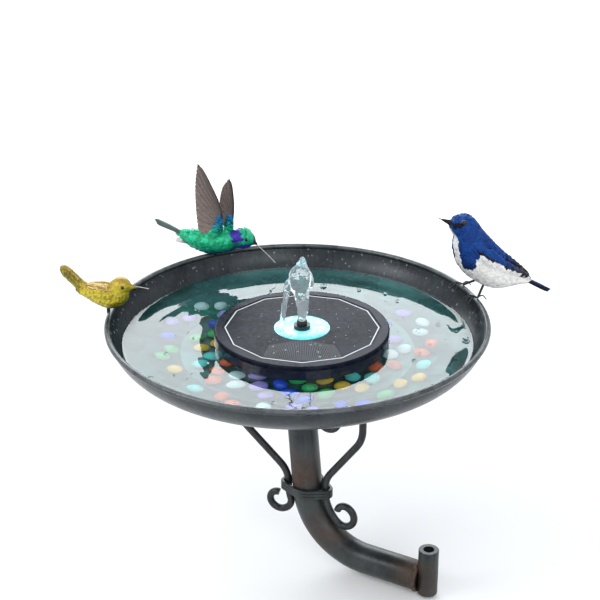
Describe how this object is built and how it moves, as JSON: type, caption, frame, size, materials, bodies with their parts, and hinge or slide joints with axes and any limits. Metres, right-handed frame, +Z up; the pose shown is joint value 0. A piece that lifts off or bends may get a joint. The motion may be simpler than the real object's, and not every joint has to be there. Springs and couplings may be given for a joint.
{
  "type": "bird bath",
  "caption": "Bracket-hung iron bird bath: a shallow round dish on a bent arm with scroll braces, a solar fountain, glass nuggets and perched bird figures.",
  "frame": {"origin": "centre of the lower mouth of the pivot sleeve's bore", "axes": "+Z up along the pivot bore; the arm runs from the sleeve towards -X +Y; -Y is the front that the view shows"},
  "size_m": [0.4569, 0.35, 0.3458],
  "materials": {
    "bill_black": "satin",
    "black_plastic": "matte",
    "blue_plumage": "satin",
    "board": "matte",
    "cell_foil": "satin",
    "copper": "satin",
    "float_plastic": "gloss",
    "glass_amber": "clear",
    "glass_aqua": "clear",
    "glass_blue": "clear",
    "glass_clear": "clear",
    "glass_green": "clear",
    "glass_red": "clear",
    "glass_violet": "clear",
    "gold_paint": "cast, antiqued",
    "green_plumage": "iridescent",
    "iron": "satin, dark patinated",
    "lamp": "lit",
    "lens": "clear",
    "rubber": "matte",
    "solar_cell": "gloss",
    "steel": "brushed",
    "weld": "rough",
    "wing_brown": "satin"
  },
  "bodies": {
    "ironwork": {"arm_end_plug": "iron", "arm_tube": "iron", "brace_back": "iron", "brace_front": "iron", "brace_left": "iron", "collar_wrap": "iron", "dish": "iron", "dish_weld": "weld", "flycatcher_bill": "bill_black", "flycatcher_body": "blue_plumage", "flycatcher_legs": "bill_black", "flycatcher_tail": "blue_plumage", "gold_bird_bill": "gold_paint", "gold_bird_body": "gold_paint", "gold_bird_pin": "bill_black", "gold_bird_tail": "gold_paint", "hummingbird_bill": "bill_black", "hummingbird_body": "green_plumage", "hummingbird_pin": "bill_black", "hummingbird_tail": "green_plumage", "hummingbird_wing_far": "wing_brown", "hummingbird_wing_near": "wing_brown", "nuggets_amber": "glass_amber", "nuggets_aqua": "glass_aqua", "nuggets_blue": "glass_blue", "nuggets_clear": "glass_clear", "nuggets_green": "glass_green", "nuggets_red": "glass_red", "nuggets_violet": "glass_violet", "pivot_sleeve": "iron", "sleeve_weld": "weld"},
    "fountain": {"float_base": "float_plastic", "float_bezel": "float_plastic", "float_screws": "steel", "solar_panel": "solar_cell", "light_lens": "lens", "lamps": "lamp", "light_board": "board", "control_board": "board", "battery": "cell_foil", "pump_housing": "black_plastic", "stator": "copper", "outlet_tube": "black_plastic", "pump_shaft": "steel", "intake_cover": "black_plastic", "suction_cups": "rubber"},
    "nozzle": {"nozzle": "black_plastic"},
    "impeller": {"impeller": "black_plastic"}
  },
  "joints": [
    {"name": "fountain_lift", "type": "slide", "parent": "ironwork", "child": "fountain", "axis": [0, 0, 1], "range_m": [0, 0.06]},
    {"name": "nozzle_pull", "type": "slide", "parent": "fountain", "child": "nozzle", "axis": [0, 0, 1], "range_m": [0, 0.012]},
    {"name": "impeller_spin", "type": "hinge", "parent": "fountain", "child": "impeller", "pos_m": [-0.11724, 0.07, 0.211], "axis": [0, 0, 1], "continuous": true}
  ]
}
